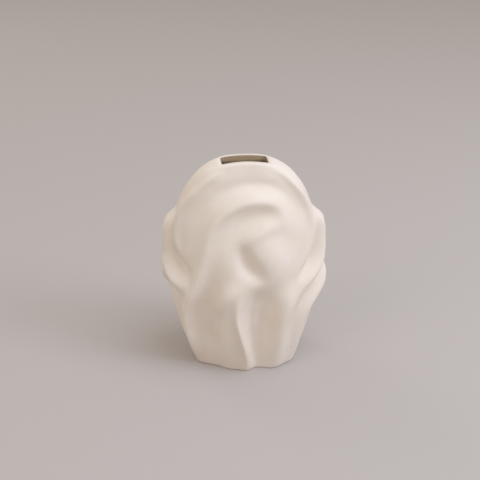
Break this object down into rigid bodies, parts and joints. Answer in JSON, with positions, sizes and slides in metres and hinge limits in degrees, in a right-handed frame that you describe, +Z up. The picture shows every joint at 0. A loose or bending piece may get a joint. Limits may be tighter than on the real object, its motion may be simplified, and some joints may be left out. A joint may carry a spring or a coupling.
{
  "type": "pillow vase",
  "caption": "Upright cushion-shaped ceramic vase, its lower half draped in soft swirling folds, with a narrow slot mouth along the arched top for a few stems.",
  "frame": {"origin": "middle of the foot, on the table", "axes": "+Z up through the mouth, -Y towards the viewer's face of the vase, +X to the viewer's right"},
  "size_m": [0.158, 0.1082, 0.2],
  "materials": {
    "clay": "matte",
    "glaze": "satin"
  },
  "bodies": {
    "root": {"base_slab": "clay", "front_wall": "clay", "back_wall": "clay", "mouth_strip": "clay", "front_glaze": "glaze", "back_glaze": "glaze", "floor_glaze": "glaze"}
  },
  "joints": []
}
